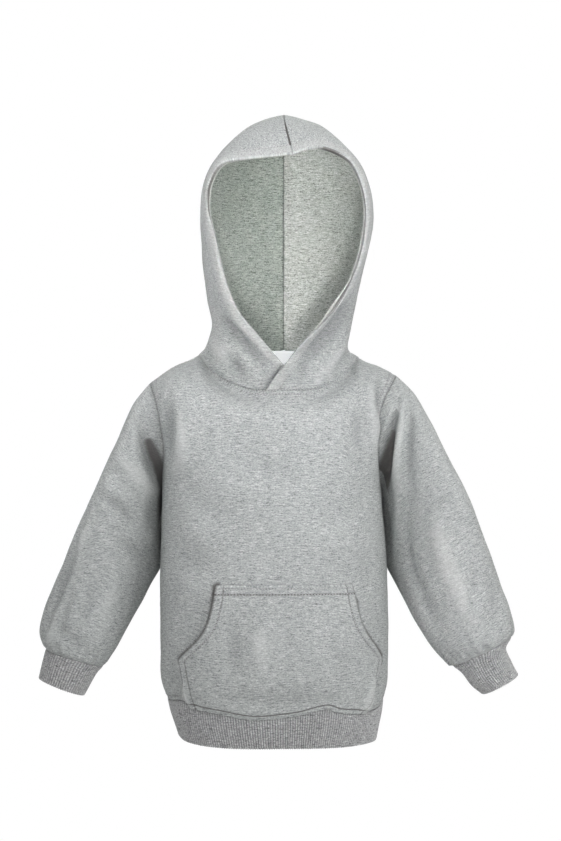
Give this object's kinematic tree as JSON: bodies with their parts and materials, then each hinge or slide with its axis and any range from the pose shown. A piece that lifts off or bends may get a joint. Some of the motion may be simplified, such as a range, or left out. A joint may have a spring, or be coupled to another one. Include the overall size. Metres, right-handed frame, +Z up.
{
  "type": "toddler hoodie",
  "caption": "Toddler pullover sweatshirt in fleece, hollow as if worn: overlapped hood, long sleeves, ribbed cuffs and hem band, and a kangaroo pocket, for covering a small child's upper body.",
  "frame": {"origin": "middle of the neck opening at the level of the shoulder seams, where a wearer's neck holds the garment up", "axes": "+Z up along the body towards the crown of the hood, +X towards the wearer's left, -Y towards the front with the pocket"},
  "size_m": [0.4935, 0.2014, 0.6454],
  "materials": {
    "fleece": "matte heather grey knit",
    "rib": "matte darker grey rib knit",
    "label": "plain woven tape"
  },
  "bodies": {
    "root": {"front": "fleece", "back": "fleece", "sleeve_left": "fleece", "sleeve_right": "fleece", "hood_left": "fleece", "hood_right": "fleece", "pocket": "fleece", "cuff_left": "rib", "cuff_right": "rib", "hem_band": "rib", "neck_label": "label"}
  },
  "joints": []
}
